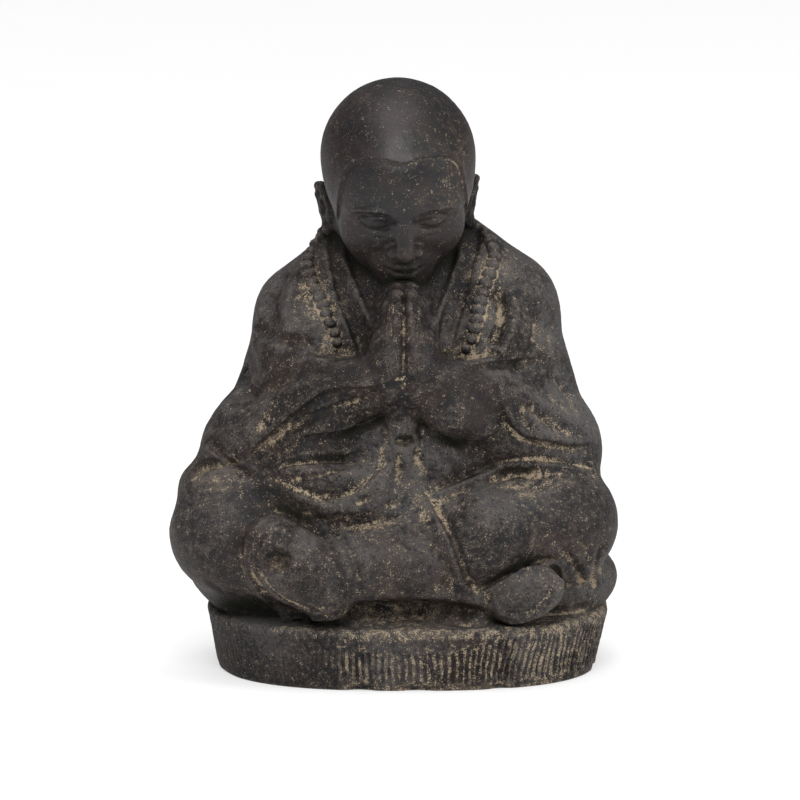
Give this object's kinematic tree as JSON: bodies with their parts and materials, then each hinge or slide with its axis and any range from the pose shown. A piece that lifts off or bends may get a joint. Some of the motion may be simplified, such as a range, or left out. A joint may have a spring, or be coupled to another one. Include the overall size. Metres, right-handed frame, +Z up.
{
  "type": "garden monk statue",
  "caption": "Seated monk with joined palms, bowed shaved head and a strand of beads over a draped robe, cast in one piece with a low plinth.",
  "frame": {"origin": "centre of the bounding box, on the ground under the plinth", "axes": "+Z up; the figure faces -Y; +X towards the figure's left hand"},
  "size_m": [0.3133, 0.2346, 0.4202],
  "materials": {
    "monk_statue": "matt dark cast stone with pale dust in the recesses"
  },
  "bodies": {
    "root": {"monk_statue": "monk_statue"}
  },
  "joints": []
}
